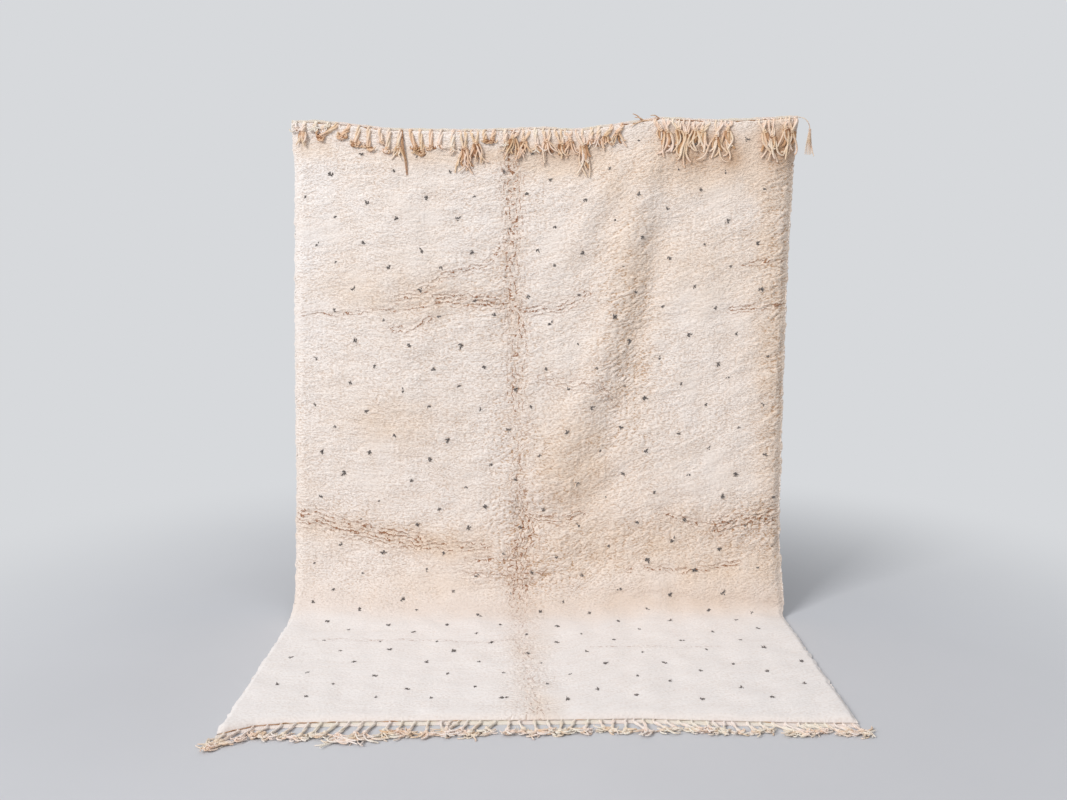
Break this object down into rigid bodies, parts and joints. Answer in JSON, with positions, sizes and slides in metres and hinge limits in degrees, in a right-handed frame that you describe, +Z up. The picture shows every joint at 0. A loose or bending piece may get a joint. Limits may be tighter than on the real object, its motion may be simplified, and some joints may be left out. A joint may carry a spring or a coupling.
{
  "type": "beni ourain rug",
  "caption": "Ivory shag wool rug with scattered charcoal knots and tasselled ends, hung by one short edge with its foot bent out over the floor.",
  "frame": {"origin": "middle of the hanging edge, at the back of the cloth", "axes": "+Z up, +X to the right as one faces the pile, -Y the way the hung pile faces and the foot runs out"},
  "size_m": [2.1355, 1.22, 2.0183],
  "materials": {
    "wool_pile": "ivory shag wool, matt",
    "warp_yarn": "straw coloured twisted yarn, matt"
  },
  "bodies": {
    "root": {"rug_pile": "wool_pile", "top_fringe": "warp_yarn", "bottom_fringe": "warp_yarn"}
  },
  "joints": []
}
